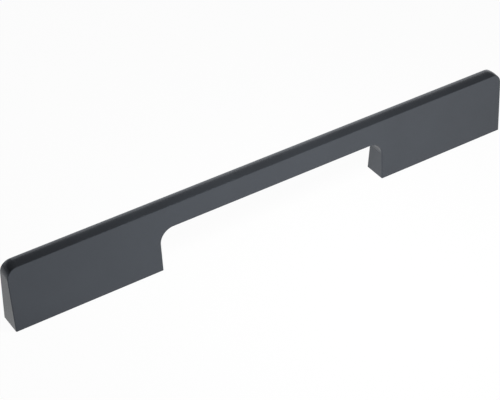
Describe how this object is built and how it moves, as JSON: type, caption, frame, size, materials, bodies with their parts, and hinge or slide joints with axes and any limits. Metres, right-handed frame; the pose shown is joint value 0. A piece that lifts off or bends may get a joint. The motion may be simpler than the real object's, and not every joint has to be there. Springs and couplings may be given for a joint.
{
  "type": "furniture handle",
  "caption": "Cast bar pull for a drawer or cabinet front: a slim straight bar on broad legs, thicker at the feet, with rounded ends and blind tapped holes for screws from behind.",
  "frame": {"origin": "middle of the foot plane, halfway between the two fixing screws", "axes": "+X along the bar, +Y across its thickness, +Z away from the furniture front, from the feet to the bar"},
  "size_m": [0.22, 0.0098, 0.0268],
  "materials": {
    "black_paint": "satin"
  },
  "bodies": {
    "root": {"handle": "black_paint"}
  },
  "joints": []
}
